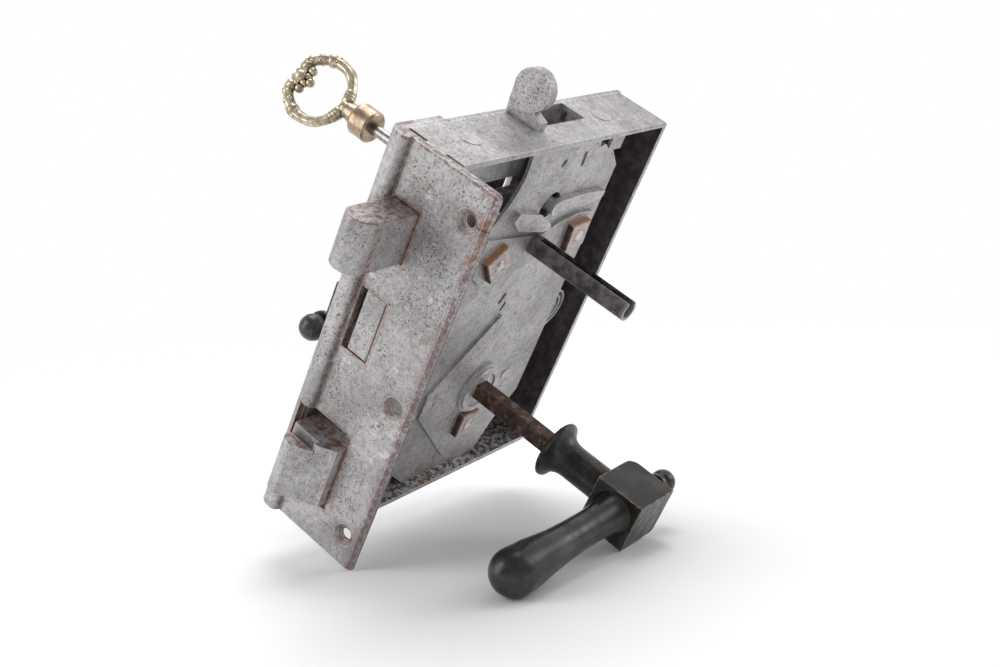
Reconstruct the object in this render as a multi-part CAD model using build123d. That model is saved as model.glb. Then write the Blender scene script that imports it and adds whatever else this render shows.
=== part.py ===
"""Antique surface-mounted door lock with key, thumb slide and a pair of lever handles.

Lock coordinates used while modelling: X runs from the faceplate into the case, Y runs from the
door side (negative) to the room side (positive), Z runs along the case's long side.
X = 0 is the faceplate's outer face, Y = 0 the room-side plate's outer face, Z = 0 the case's top.
Every solid is moved by -ORIGIN before it is written, which puts the origin on the axis of the
faceplate's middle screw hole, at the faceplate's back face.  All sizes are in millimetres.
"""
from build123d import *
import math
import os

# ---------------------------------------------------------------- driving dimensions
# Case: the sheet-metal box and the long faceplate on the door's edge.
CASE_HEIGHT = 168.0
CASE_DEPTH = 140.0
CASE_START = 4.6
RIM_DEPTH = 27.0
RIM_THICKNESS = 2.2
SHEET = 2.0
LUG_THICKNESS = 1.6

FACE_THICKNESS = 3.0
FACE_NEAR_EDGE = -46.6
FACE_CREASE = -6.9
WRAP_STRIP_END = 25.3
WRAP_THICKNESS = 2.4

COVER_OUTER = -21.8
COVER_THICKNESS = 1.4
COVER_INNER = COVER_OUTER + COVER_THICKNESS
# Slots of the cover plate: x, z, width, length and lean in degrees.
COVER_SLOTS = ((94.1, -13.6, 2.3, 7.0, -8.0), (80.2, -13.9, 2.9, 4.4, 24.0),
               (76.4, -75.4, 2.2, 5.6, 26.0), (79.4, -80.2, 2.0, 5.0, 20.0))
STUD_OPENING = ((81.4, -34.0), (83.4, -31.6))
STUD_OPENING_R = 4.7

# Fixings: every pair is (x, z), except the faceplate's screws, which are (y, z).
SCREW_HOLES = ((-38.5, -14.2), (-38.5, -94.2), (-38.5, -155.8))
SCREW_HOLE_R = 2.4
SINK_R = 4.7
SINK_DEPTH = 1.8
PLATE_SCREWS = ((12.5, -104.0), (128.0, -10.0), (128.0, -158.0))
PLATE_SCREW_R = 2.6
RIM_RIVETS = ((106.6, -14.8, 0.0), (23.7, -13.8, 0.0), (40.0, -13.0, -CASE_HEIGHT))
RIVET_R = 4.0
STUDS = ((56.0, -52.4), (108.0, -49.3), (84.2, -140.2))
STUD_R = 2.6
NUT_ANGLES = (54.0, 84.0, 1.0)
NUT_SEATS = (-23.3, -23.3, -23.0)
NUT_SIDES = (12.0, 12.2, 11.2)
NUT_THICKNESS = 2.9
SLEEVE_R = 4.4
GUIDE_STUDS = ((112.0, -29.0), (40.0, -80.0), (44.0, -136.0))
GUIDE_R = 2.5

# Gaps: a running fit for what turns in a hole, a snug one for what stays put.
RUNNING = 0.05
SNUG = 0.03
SLOT_GAP = 0.3

# Hub, spindle and handles.
SPINDLE = (84.0, -122.0)
SPINDLE_SIDE = 7.0
HUB_SPIGOT_R = 8.0
HUB_BARREL_R = 9.6
HUB_END_R = 8.6
HUB_ARM_WIDTH = 6.4
HUB_ARM_REACH = 19.6
HUB_COVER_CENTRE = (80.0, -121.5)
HUB_COVER_HALF = 37.5
HUB_COVER_THICKNESS = 1.2
HUB_COVER_OUTER = COVER_OUTER - HUB_COVER_THICKNESS
HUB_COVER_RIVETS = ((50.6, -121.6), (103.4, -121.2))
HUB_COVER_RIVET_R = 2.0
RING_R = 12.0
RING_STEP_R = 10.8
RING_STEP = 1.2

HANDLE_BLOCK_Z = (-132.9, -111.2)
NEAR_BLOCK_X = (71.8, 96.3)
NEAR_BLOCK_Y = (-115.2, -93.6)
FAR_BLOCK_X = (65.6, 96.2)
FAR_BLOCK_Y = (26.6, 48.6)
NEAR_NECK = 27.0
FAR_NECK = 23.0
NECK_R = 7.2
ROSE_R = 12.45
BULB_R = 9.3
BULB_CENTRE = 64.8
BORE_WALL = 5.9
PIN_R = 1.25
PIN_LENGTH = 14.2
PIN_Y = (-86.0, 17.0)

# Key and its guide.
KEY = (80.0, -49.0)
KEY_SHANK_R = 2.45
KEY_BIT_R = 13.5
KEY_SLOT_TOP = -30.8
KEY_HOLE_R = 5.2
KEY_TILT = 37.0
KEY_TIP = -19.0
BIT_Y = (-16.0, -6.0)
BIT_HALF = 1.4
COLLAR_Y = (66.5, 81.5)
SHANK_IN_COLLAR = 4.0
BOW_HALF_WIDTH = 14.2
BOW_END = 115.4
BOW_WIRE_R = 2.8
BOW_BOSS_R = 4.6
TUBE_R = 4.3
TUBE_BORE_R = 3.1
TUBE_END = -71.6
TUBE_SLOT = 3.9
FLANGE_THICKNESS = 1.5
TUBE_ROOT = COVER_OUTER - FLANGE_THICKNESS

# Bolts, their travels and the works that drive them.
DEADBOLT_Y = (-20.2, -8.0)
DEADBOLT_Z = (-43.2, -22.4)
DEADBOLT_TRAVEL = 20.0
TAIL_Y = (-13.0, -8.6)
NIGHT_Y = (-20.1, -10.6)
NIGHT_Z = (-86.0, -60.0)
NIGHT_TAIL = 4.0
NIGHT_TRAVEL = 13.0
LATCH_Y = (-26.2, -5.8)
LATCH_Z = (-149.0, -122.0)
LATCH_TRAVEL = 15.0
LATCH_FRAME_X = (21.0, 106.0)
FRAME_Y = (-12.0, -8.0)
# Half width of a guide slot, and how far it runs past its stud at either end.
GUIDE_SLOT_HALF = GUIDE_R + 0.25
GUIDE_SLOT_END = GUIDE_R + 0.4

THUMB_X = (60.0, 64.6)
THUMB_TRAVEL = 26.0
SLIDE_BAR_Y = (-14.0, -12.0)
SLIDE_BAR_Z = (-20.8, -13.4)
SLIDE_PIN = (19.0, -17.0)
NIGHT_PIN = (38.5, -69.5)
DRIVE_PIN_R = 1.8
LEVER_PIVOT = (32.0, -52.0)
LEVER_PIVOT_R = 3.0
LEVER_Y = (-4.6, -2.6)
LEVER_HALF = 4.4
TUMBLER_PIVOT = (114.6, -31.9)
TUMBLER_PIVOT_R = 1.5
TUMBLER_STUD = (83.4, -32.8)
TUMBLER_STUD_R = 3.0
SPRING_Y = (-20.2, -14.6)

ORIGIN = (FACE_THICKNESS, SCREW_HOLES[1][0], SCREW_HOLES[1][1])


# ---------------------------------------------------------------- helpers
def block(x, y, z):
    """Box between two limits on each axis."""
    size = (x[1] - x[0], y[1] - y[0], z[1] - z[0])
    return Pos((x[0] + x[1]) / 2, (y[0] + y[1]) / 2, (z[0] + z[1]) / 2) * Box(*size)


def widened(span, below, above):
    """A pair of limits moved apart."""
    return (span[0] - below, span[1] + above)


def plane_y(y):
    """Plane whose local x, y are the lock's X, Z, with its normal towards -Y."""
    return Plane(origin=(0, y, 0), x_dir=(1, 0, 0), z_dir=(0, -1, 0))


def plane_z(z):
    """Plane whose local x, y are the lock's X, Y, with its normal towards +Z."""
    return Plane(origin=(0, 0, z), x_dir=(1, 0, 0), z_dir=(0, 0, 1))


def prism_z(outline, z):
    """Solid whose outline lies in X, Y and which stands between two Z limits."""
    face = make_face(plane_z(z[0]) * outline)
    return extrude(face, z[1] - z[0], dir=(0, 0, 1))


def plate(outline, y):
    """Flat plate whose outline lies in X, Z and whose thickness runs between two Y limits."""
    face = make_face(plane_y(y[1]) * outline)
    return extrude(face, y[1] - y[0], dir=(0, -1, 0))


def outline_from(points):
    """Closed straight-sided outline."""
    return Polyline(*points, close=True)


def rod_y(centre, radius, y):
    """Round rod along Y."""
    rod = Cylinder(radius, y[1] - y[0])
    return Pos(centre[0], (y[0] + y[1]) / 2, centre[1]) * Rot(90, 0, 0) * rod


def rod_x(centre, radius, x):
    """Round rod along X, centred on (y, z)."""
    rod = Cylinder(radius, x[1] - x[0])
    return Pos((x[0] + x[1]) / 2, centre[0], centre[1]) * Rot(0, 90, 0) * rod


def turned(profile, start, direction):
    """Solid of revolution: profile is (distance along the axis, radius) from start."""
    points = [(0.0, profile[0][0])] + [(radius, along) for along, radius in profile]
    points.append((0.0, profile[-1][0]))
    face = make_face(Plane.XZ * Polyline(*points, close=True))
    body = revolve(face, Axis.Z)
    place = Plane(origin=start, z_dir=direction)
    return place * body


def group(parts):
    """Several separate solids kept in one node."""
    return Compound(children=list(parts))


def turn_about(part, centre, angle):
    """Turn a part about a line along +Y through (x, z), right-handed."""
    axis = Axis((centre[0], 0, centre[1]), (0, 1, 0))
    return part.rotate(axis, angle)


# ---------------------------------------------------------------- case
def faceplate():
    """Forend with its rolled bead and the strip that wraps back over the room-side plate."""
    flat = [(0, FACE_CREASE), (0, FACE_NEAR_EDGE + 2.0), (1.4, FACE_NEAR_EDGE)]
    flat += [(FACE_THICKNESS, FACE_NEAR_EDGE), (FACE_THICKNESS, -2.2)]
    path = Polyline(*flat)
    path += Polyline((FACE_THICKNESS, -2.2), (FACE_THICKNESS, 0.0), (WRAP_STRIP_END, 0.0),
                     (WRAP_STRIP_END, WRAP_THICKNESS), (3.0, WRAP_THICKNESS))
    path += ThreePointArc((3.0, WRAP_THICKNESS), (-1.6, 0.6), (-2.9, -3.2))
    path += ThreePointArc((-2.9, -3.2), (-2.2, -5.9), (0, FACE_CREASE))
    sheet = prism_z(path, (-CASE_HEIGHT, 0))
    hollow = Pos(-0.1, -2.6, -CASE_HEIGHT / 2) * Cylinder(1.5, CASE_HEIGHT - 12)
    sheet -= hollow
    corner = sheet.edges().filter_by(Axis.X).group_by(Axis.Y)[0].sort_by(Axis.Z)[-1]
    sheet = fillet(corner, 2.5)
    for y, z in SCREW_HOLES:
        sheet -= rod_x((y, z), SCREW_HOLE_R, (-1, 5))
        sink = Cone(SINK_R, SCREW_HOLE_R, SINK_DEPTH)
        sheet -= Pos(SINK_DEPTH / 2, y, z) * Rot(0, 90, 0) * sink
    sheet -= rod_y(PLATE_SCREWS[0], PLATE_SCREW_R, (-1, 5))
    slots = (
        (widened(DEADBOLT_Y, SLOT_GAP, SLOT_GAP), widened(DEADBOLT_Z, SLOT_GAP, SLOT_GAP)),
        (widened(NIGHT_Y, 0.8, 2.6), widened(NIGHT_Z, SLOT_GAP, SLOT_GAP)),
        (widened(LATCH_Y, SLOT_GAP, 4.2), widened(LATCH_Z, 3.6, 5.4)),
    )
    for y, z in slots:
        sheet -= block((-9, 8), y, z)
    return sheet


def keyhole_cutter(y):
    """Round hole for the shank and a slot above it for the bit."""
    cutter = rod_y(KEY, KEY_SHANK_R + 0.9, y)
    slot_x = (KEY[0] - 2.2, KEY[0] + 2.2)
    return cutter + block(slot_x, y, (KEY[1], KEY_SLOT_TOP))


def front_plate():
    """Room-side plate with keyhole, hub hole and the screw holes that fix it to the door."""
    body = block((FACE_THICKNESS + 0.05, CASE_DEPTH), (-SHEET, 0), (-CASE_HEIGHT, 0))
    body -= keyhole_cutter((-SHEET - 1, 1))
    body -= rod_y(SPINDLE, HUB_SPIGOT_R + RUNNING, (-SHEET - 1, 1))
    for centre in PLATE_SCREWS:
        body -= rod_y(centre, PLATE_SCREW_R, (-SHEET - 1, 1))
    return body


def rim_strap():
    """One strip bent round the top, back and bottom of the case."""
    y = (-RIM_DEPTH, -SHEET)
    outer = block((CASE_START, CASE_DEPTH), y, (-CASE_HEIGHT, 0))
    wall = RIM_THICKNESS
    strap = outer - block((-1, CASE_DEPTH - wall), (-99, 9), (-CASE_HEIGHT + wall, -wall))
    corners = strap.edges().filter_by(Axis.Y).group_by(Axis.X)[-1]
    strap = fillet(corners, 2.0)
    slot_end = THUMB_X[1] + THUMB_TRAVEL + 4.8
    strap -= block((THUMB_X[0] - 0.4, slot_end), (-14.4, -2.6), (-9, 9))
    blind = -CASE_HEIGHT + 0.8
    strap -= block((100.0, 106.2), (-25.4, -19.4), (blind, -CASE_HEIGHT + 9))
    for x, y, z in RIM_RIVETS:
        strap -= Pos(x, y, z) * Cylinder(RIVET_R, 12)
    for z in (-RIM_THICKNESS / 2, -CASE_HEIGHT + RIM_THICKNESS / 2):
        tenon = Pos((FACE_THICKNESS + CASE_START) / 2 + 0.1, -15.0, z)
        strap += tenon * Box(CASE_START - FACE_THICKNESS + 0.2, 9.0, RIM_THICKNESS)
    return strap


def rim_rivets():
    """Flush rivets in the top and bottom walls, each holding a corner lug."""
    rivets = []
    for x, y, z in RIM_RIVETS:
        if z > -1:
            span = (-RIM_THICKNESS, 0.2)
        else:
            span = (-CASE_HEIGHT, -CASE_HEIGHT + RIM_THICKNESS)
        height = span[1] - span[0]
        rivets.append(Pos(x, y, (span[0] + span[1]) / 2) * Cylinder(RIVET_R - SNUG, height))
    return group(rivets)


def corner_lugs():
    """Small angles that tie the rim to the room-side plate, under the wall rivets."""
    lugs = []
    for x, y, z in RIM_RIVETS:
        if z > -1:
            levels = (-RIM_THICKNESS - LUG_THICKNESS, -RIM_THICKNESS)
            foot = (-RIM_THICKNESS - 7.0, -RIM_THICKNESS)
        else:
            start = -CASE_HEIGHT + RIM_THICKNESS
            levels = (start, start + LUG_THICKNESS)
            foot = (start, start + 7.0)
        width = (x - 5.0, x + 5.0)
        shelf = block(width, (-19.4, -SHEET), levels)
        shelf += block(width, (-SHEET - LUG_THICKNESS, -SHEET), foot)
        lugs.append(shelf)
    return group(lugs)


def cover_plate():
    """Inner plate over the works, with its concave upper-left edge and a tab to the top wall."""
    right = 122.4
    top = -RIM_THICKNESS - 0.2
    bottom = -CASE_HEIGHT + RIM_THICKNESS + 0.2
    left = 22.0
    path = Polyline((56.2, -9.0), (56.0, top), (101.5, top), (102.6, -9.6), (106.4, -8.6),
                    (110.2, -11.4), (111.4, top), (119.4, top), (119.6, -12.2),
                    (114.4, -12.4), (right, -20.4), (right, -136.0), (112.0, -151.0),
                    (106.0, bottom), (57.0, bottom), (46.0, -156.6), (left, -150.0),
                    (left, -57.0), (30.0, -52.0))
    path += Spline((30.0, -52.0), (42.0, -43.4), (50.0, -33.0), (55.6, -22.0), (56.2, -9.0))
    body = plate(path, (COVER_OUTER, COVER_INNER))
    y = (COVER_OUTER - 1, COVER_INNER + 1)
    body -= rod_y(SPINDLE, HUB_BARREL_R + RUNNING, y)
    body -= rod_y(KEY, KEY_HOLE_R, y)
    for centre in STUDS:
        body -= rod_y(centre, STUD_R + RUNNING, y)
    for centre in STUD_OPENING:
        body -= rod_y(centre, STUD_OPENING_R, y)
    for x, z, width, length, lean in COVER_SLOTS:
        slot = SlotOverall(length, width)
        face = plane_y(COVER_INNER + 1) * Pos(x, z) * Rot(0, 0, 90 - lean) * slot
        body -= extrude(face, COVER_THICKNESS + 2, dir=(0, -1, 0))
    for centre in HUB_COVER_RIVETS:
        body -= rod_y(centre, HUB_COVER_RIVET_R, y)
    return body


def hub_cover():
    """Thin square plate set on its corner round the hub, riveted to the cover plate."""
    x, z = HUB_COVER_CENTRE
    half = HUB_COVER_HALF
    cut = 6.0
    points = [(x - half + cut, z + cut), (x, z + half), (x + half, z), (x, z - half)]
    points.append((x - half + cut, z - cut))
    body = plate(outline_from(points), (HUB_COVER_OUTER, COVER_OUTER))
    y = (HUB_COVER_OUTER - 1, COVER_OUTER + 1)
    body -= rod_y(SPINDLE, HUB_BARREL_R + RUNNING, y)
    body -= rod_y(STUDS[2], STUD_R + RUNNING, y)
    for centre in HUB_COVER_RIVETS:
        body -= rod_y(centre, HUB_COVER_RIVET_R, y)
    return body


def boss_ring():
    """Stepped ring on the hub cover round the end of the hub."""
    middle = HUB_COVER_OUTER - RING_STEP
    outer = middle - RING_STEP
    ring = rod_y(SPINDLE, RING_R, (middle, HUB_COVER_OUTER))
    ring += rod_y(SPINDLE, RING_STEP_R, (outer, middle))
    return ring - rod_y(SPINDLE, HUB_END_R + RUNNING, (outer - 1, HUB_COVER_OUTER + 1))


def hub_cover_rivets():
    """Two rivets through the hub cover and the cover plate."""
    rivets = []
    for centre in HUB_COVER_RIVETS:
        shank = rod_y(centre, HUB_COVER_RIVET_R - SNUG, (HUB_COVER_OUTER, COVER_INNER))
        head = rod_y(centre, 2.6, (HUB_COVER_OUTER - 0.35, HUB_COVER_OUTER))
        rivets.append(shank + head)
    return group(rivets)


def pillar_studs():
    """Threaded studs riveted into the room-side plate, ending proud of their nuts."""
    studs = []
    for centre, seat in zip(STUDS, NUT_SEATS):
        end = seat - NUT_THICKNESS - 0.4
        stud = rod_y(centre, STUD_R, (end, -SHEET))
        tip = stud.edges().filter_by(GeomType.CIRCLE).sort_by(Axis.Y)[0]
        studs.append(chamfer(tip, 0.35))
    return group(studs)


def pillar_sleeves():
    """Spacer tubes between the room-side plate and the cover plate."""
    sleeves = []
    for centre in STUDS:
        y = (COVER_INNER, -SHEET)
        sleeves.append(rod_y(centre, SLEEVE_R, y) - rod_y(centre, STUD_R + RUNNING, y))
    return group(sleeves)


def square_nuts():
    """Square nuts, each left at its own angle, with chamfered outer corners."""
    nuts = []
    for centre, angle, seat, side in zip(STUDS, NUT_ANGLES, NUT_SEATS, NUT_SIDES):
        y = (seat - NUT_THICKNESS, seat)
        half = side / 2
        nut = block((centre[0] - half, centre[0] + half), y, (centre[1] - half, centre[1] + half))
        outer = nut.faces().sort_by(Axis.Y)[0].edges()
        nut = chamfer(outer, 0.4)
        nut -= rod_y(centre, STUD_R + RUNNING, (y[0] - 1, y[1] + 1))
        nuts.append(turn_about(nut, centre, angle))
    return group(nuts)


def key_guide_flange():
    """Two-eared flange under the upper nuts that carries the guide tube."""
    y = (TUBE_ROOT, COVER_OUTER)
    ears = Polyline((44.6, -50.0), (46.0, -41.0), (73.4, -44.6), (84.0, -45.4), (93.7, -41.6),
                    (106.0, -39.6), (116.4, -40.6), (117.4, -47.0), (113.0, -55.0),
                    (96.0, -57.6), (82.0, -60.4), (75.0, -60.4), (64.0, -63.0), (52.6, -63.4),
                    (45.6, -58.0), close=True)
    flange = plate(ears, y) - rod_y(KEY, TUBE_BORE_R, (y[0] - 1, y[1] + 1))
    for centre in STUDS[:2]:
        flange -= rod_y(centre, STUD_R + RUNNING, (y[0] - 1, y[1] + 1))
    return flange


def key_guide_tube():
    """Guide tube for the key's shank, slotted along its upper side."""
    tube = rod_y(KEY, TUBE_R, (TUBE_END, TUBE_ROOT))
    tube -= rod_y(KEY, TUBE_BORE_R, (TUBE_END - 1, TUBE_ROOT + 1))
    slot_x = (KEY[0] - TUBE_SLOT / 2, KEY[0] + TUBE_SLOT / 2)
    return tube - block(slot_x, (TUBE_END - 1, TUBE_ROOT - 2.5), (KEY[1], KEY[1] + 9))


def stop_wedge():
    """Short wedge-shaped stop riveted to the cover plate above the guide tube."""
    points = [(56.4, -34.2), (58.8, -30.8), (74.4, -34.0), (83.6, -39.6), (85.4, -42.4),
              (80.2, -42.8), (62.0, -39.0)]
    return plate(outline_from(points), (COVER_OUTER - 3.0, COVER_OUTER))


def bolt_guides():
    """Shouldered studs in the room-side plate that guide the three bolts' tails."""
    return group([rod_y(centre, GUIDE_R, (-16.0, -SHEET)) for centre in GUIDE_STUDS])


def lever_stud():
    """Pivot stud of the reversing lever."""
    return rod_y(LEVER_PIVOT, LEVER_PIVOT_R, (-6.4, -SHEET))


def keeper_washers():
    """Washers riveted on the stud ends to keep the bolts' tails and the lever in place."""
    washers = []
    places = [(centre, GUIDE_R, outer) for centre, outer in zip(GUIDE_STUDS, (-15.6, -15.8, -13.6))]
    places.append((LEVER_PIVOT, LEVER_PIVOT_R, -6.2))
    for centre, radius, outer in places:
        y = (outer, outer + 0.9)
        washers.append(rod_y(centre, radius + 1.9, y) - rod_y(centre, radius, y))
    return group(washers)


def bent_spring(outer, gauge, y):
    """Flat strip bent into a U: two straight legs and a round end towards the case's back."""
    x0, x1, z_mid, half = outer
    path = Line((x0, z_mid + half), (x1, z_mid + half))
    path += ThreePointArc((x1, z_mid + half), (x1 + half, z_mid), (x1, z_mid - half))
    path += Line((x1, z_mid - half), (x0 + 8, z_mid - half))
    inner_half = half - gauge
    path += Line((x0 + 8, z_mid - half), (x0 + 8, z_mid - inner_half))
    path += Line((x0 + 8, z_mid - inner_half), (x1, z_mid - inner_half))
    path += ThreePointArc((x1, z_mid - inner_half), (x1 + inner_half, z_mid),
                          (x1, z_mid + inner_half))
    path += Line((x1, z_mid + inner_half), (x0, z_mid + inner_half))
    path += Line((x0, z_mid + inner_half), (x0, z_mid + half))
    return turn_about(plate(path, y), (x1, z_mid), -34)


def latch_springs():
    """Two nested U-bent leaf springs of the latch."""
    outer = bent_spring((96.0, 123.4, -93.4, 9.4), 0.9, SPRING_Y)
    middle = bent_spring((99.0, 122.9, -93.2, 7.0), 0.8, SPRING_Y)
    return group([outer, middle])


def tumbler_spring():
    """Smallest U-bent leaf spring, nested in the latch springs."""
    return bent_spring((102.0, 122.4, -93.0, 4.6), 0.7, SPRING_Y)


def tumbler_stud():
    """Pivot stud of the tumbler arm, riveted into the cover plate."""
    return rod_y(TUMBLER_PIVOT, TUMBLER_PIVOT_R, (COVER_OUTER - 2.7, COVER_OUTER))


# ---------------------------------------------------------------- moving parts
def guide_slot(stud, travel, y):
    """Cutter for the slot that a stud needs in a tail which slides by travel the other way."""
    low = stud[0] + min(travel, 0.0) - GUIDE_SLOT_END
    high = stud[0] + max(travel, 0.0) + GUIDE_SLOT_END
    z = (stud[1] - GUIDE_SLOT_HALF, stud[1] + GUIDE_SLOT_HALF)
    return block((low, high), widened(y, 1, 1), z)


def deadbolt():
    """Thrown bolt: heavy rounded head, thinner tail with the talon notch for the key."""
    head_path = Polyline((12, DEADBOLT_Y[0]), (-20.4, DEADBOLT_Y[0]))
    head_path += ThreePointArc((-20.4, DEADBOLT_Y[0]), (-27.4, -14.2), (-24.4, DEADBOLT_Y[1]))
    head_path += Polyline((-24.4, DEADBOLT_Y[1]), (12, DEADBOLT_Y[1]), (12, DEADBOLT_Y[0]))
    head = prism_z(head_path, DEADBOLT_Z)
    head = fillet(head.edges().group_by(Axis.X)[0], 0.8)
    lower = -42.0
    notch_top = -35.0
    # The bit points straight up when the key has turned this share of its full turn.
    bit_up = (180.0 - KEY_TILT) / 360.0
    notch = KEY[0] - DEADBOLT_TRAVEL * bit_up
    bridge_top = -29.6
    tail = [(11, DEADBOLT_Z[0]), (11, DEADBOLT_Z[1]), (38, DEADBOLT_Z[1]), (46, bridge_top),
            (88, bridge_top), (95, -24.0), (116, -24.0), (116, -38.0), (94, lower),
            (notch + 10.0, lower), (notch + 10.0, notch_top), (notch - 10.0, notch_top),
            (notch - 10.0, lower), (46, lower),
            (44, DEADBOLT_Z[0])]
    bolt = head + plate(outline_from(tail), TAIL_Y)
    return bolt - guide_slot(GUIDE_STUDS[0], -DEADBOLT_TRAVEL, TAIL_Y)


def night_bolt():
    """Small middle bolt, flush at rest, with a slotted tail."""
    bolt = block((0.3, 20), NIGHT_Y, NIGHT_Z)
    bolt = fillet(bolt.edges().group_by(Axis.X)[0], 0.7)
    tail_y = (NIGHT_Y[1] - NIGHT_TAIL, NIGHT_Y[1])
    bolt += block((19, 62), tail_y, (NIGHT_Z[0], -63.0))
    bolt -= guide_slot(GUIDE_STUDS[1], NIGHT_TRAVEL, tail_y)
    return bolt - rod_y(NIGHT_PIN, DRIVE_PIN_R, widened(tail_y, 1, 1))


def night_bolt_pin():
    """Pin of the night bolt that the reversing lever drives."""
    return rod_y(NIGHT_PIN, DRIVE_PIN_R - SNUG, (NIGHT_Y[1] - NIGHT_TAIL, LEVER_Y[1] - 0.2))


def latch_bolt():
    """Spring latch: bevelled head with a stepped top and a neck into the case."""
    nose = -15.5
    path = Polyline((-10.0, LATCH_Y[1]), (5.0, LATCH_Y[1]), (5.0, LATCH_Y[0]),
                    (-5.0, LATCH_Y[0]), (nose, -12.2))
    path += ThreePointArc((nose, -12.2), (nose + 1.2, -8.0), (-10.0, LATCH_Y[1]))
    head = prism_z(path, LATCH_Z)
    head -= block((-30, -9.6), (-40, 9), (LATCH_Z[1] - 3.2, LATCH_Z[1] + 1))
    head -= block((-9.8, -7.4), (-18.5, 9), (LATCH_Z[1] - 5.0, LATCH_Z[1] + 1))
    neck = block((4, 21), (-19.6, LATCH_Y[1]), (LATCH_Z[0] + 1, LATCH_Z[1] - 1))
    return head + neck


def latch_frame():
    """Flat tail of the latch: a frame round the hub with the lug that the hub's arm pushes."""
    neck = block((LATCH_FRAME_X[0], 56), FRAME_Y, (-147.0, -125.0))
    frame = block((54, LATCH_FRAME_X[1]), FRAME_Y, (-150.6, -96.6))
    frame -= block((58.4, 101), widened(FRAME_Y, 1, 1), (-146.0, -101.2))
    lug = block((87.5, 93), FRAME_Y, (-110.6, -101))
    return neck + frame + lug - guide_slot(GUIDE_STUDS[2], -LATCH_TRAVEL, FRAME_Y)


def thumb_piece():
    """Round-headed thumb tab with a notched neck, standing through the top wall."""
    centre_y = -8.4
    centre_z = 12.6
    place = Plane(origin=(THUMB_X[0], 0, 0), x_dir=(0, 1, 0), z_dir=(1, 0, 0))
    thickness = THUMB_X[1] - THUMB_X[0]
    disc = Pos(centre_y, centre_z) * Circle(8.1)
    neck = make_face(Polyline((-13.4, 6.2), (-12.6, 5.0), (-15.2, 4.0), (-17.0, 3.2),
                              (-17.0, 0.1), (-14.0, 0.1), (-14.0, -21.0), (-3.2, -21.0),
                              (-3.2, 0.1), (-1.2, 0.1), (-0.6, 6.0), (-0.4, 12.0), close=True))
    return extrude(place * (disc + neck), thickness)


def slide_bar():
    """Bar that carries the thumb tab inside the case, over the deadbolt."""
    bar = block((12.0, THUMB_X[0]), SLIDE_BAR_Y, SLIDE_BAR_Z)
    return bar - rod_y(SLIDE_PIN, DRIVE_PIN_R, widened(SLIDE_BAR_Y, 1, 1))


def slide_pin():
    """Pin of the slide bar that drives the reversing lever."""
    return rod_y(SLIDE_PIN, DRIVE_PIN_R - SNUG, (SLIDE_BAR_Y[0], LEVER_Y[1] - 0.2))


def reversing_lever():
    """Two-armed lever: thumb tab inwards throws the night bolt outwards."""
    upper = SLIDE_PIN[1] - LEVER_PIVOT[1]
    lean = math.degrees(math.atan2(SLIDE_PIN[0] - LEVER_PIVOT[0], upper))
    x, z = LEVER_PIVOT
    arm = block((x - LEVER_HALF, x + LEVER_HALF), LEVER_Y, (z - 24, z + 42))
    arm += rod_y(LEVER_PIVOT, 7.0, LEVER_Y)
    arm -= rod_y(LEVER_PIVOT, LEVER_PIVOT_R + RUNNING, (-9, 0))
    slot_x = (x - DRIVE_PIN_R - 0.45, x + DRIVE_PIN_R + 0.45)
    arm -= block(slot_x, (-9, 0), (z + upper - 2.2, z + upper + 4.6))
    lower = NIGHT_PIN[1] - LEVER_PIVOT[1]
    arm -= block(slot_x, (-9, 0), (z + lower - 4.0, z + lower + 2.4))
    return turn_about(arm, LEVER_PIVOT, lean)


def tumbler_arm():
    """Arm over the cover plate whose stud reaches through the oval hole."""
    y = (COVER_OUTER - 2.6, COVER_OUTER - 0.15)
    points = [(86.0, -35.0), (84.6, -29.9), (104.0, -29.2), (117.6, -30.4), (117.6, -33.2),
              (106.0, -34.4)]
    arm = plate(outline_from(points), y)
    arm += rod_y(TUMBLER_STUD, TUMBLER_STUD_R, (y[0] - 0.6, -17.4))
    return arm - rod_y(TUMBLER_PIVOT, TUMBLER_PIVOT_R + RUNNING, widened(y, 1, 1))


def spindle_bar(y, margin=0.0):
    """Square bar on the spindle's axis, larger by a margin when it serves as a cutter."""
    half = SPINDLE_SIDE / 2 + margin
    x = (SPINDLE[0] - half, SPINDLE[0] + half)
    return block(x, y, (SPINDLE[1] - half, SPINDLE[1] + half))


def cross_pin(y, radius, length):
    """Round pin across the spindle, upright when the handles are at rest."""
    return Pos(SPINDLE[0], y, SPINDLE[1]) * Cylinder(radius, length)


def follower_hub():
    """Hub turned by the spindle, with a square hole and one driving arm."""
    shoulder = COVER_OUTER - 1.0
    barrel = rod_y(SPINDLE, HUB_BARREL_R, (shoulder, -SHEET - 0.2))
    barrel += rod_y(SPINDLE, HUB_END_R, (shoulder - 1.9, shoulder))
    barrel += rod_y(SPINDLE, HUB_SPIGOT_R, (-SHEET - 0.2, 0.0))
    arm_x = (SPINDLE[0] - HUB_ARM_WIDTH / 2, SPINDLE[0] + HUB_ARM_WIDTH / 2)
    barrel += block(arm_x, FRAME_Y, (SPINDLE[1], SPINDLE[1] + HUB_ARM_REACH))
    return barrel - spindle_bar((-30, 5), RUNNING)


def spindle():
    """Square bar through the hub and both handles, drilled for its two pins."""
    bar = spindle_bar((NEAR_BLOCK_Y[0] + BORE_WALL + 0.1, FAR_BLOCK_Y[1] - BORE_WALL - 0.1))
    bar = chamfer(bar.edges().filter_by(Axis.Y), 0.4)
    for y in PIN_Y:
        bar -= cross_pin(y, PIN_R + SNUG, 20)
    return bar


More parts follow.
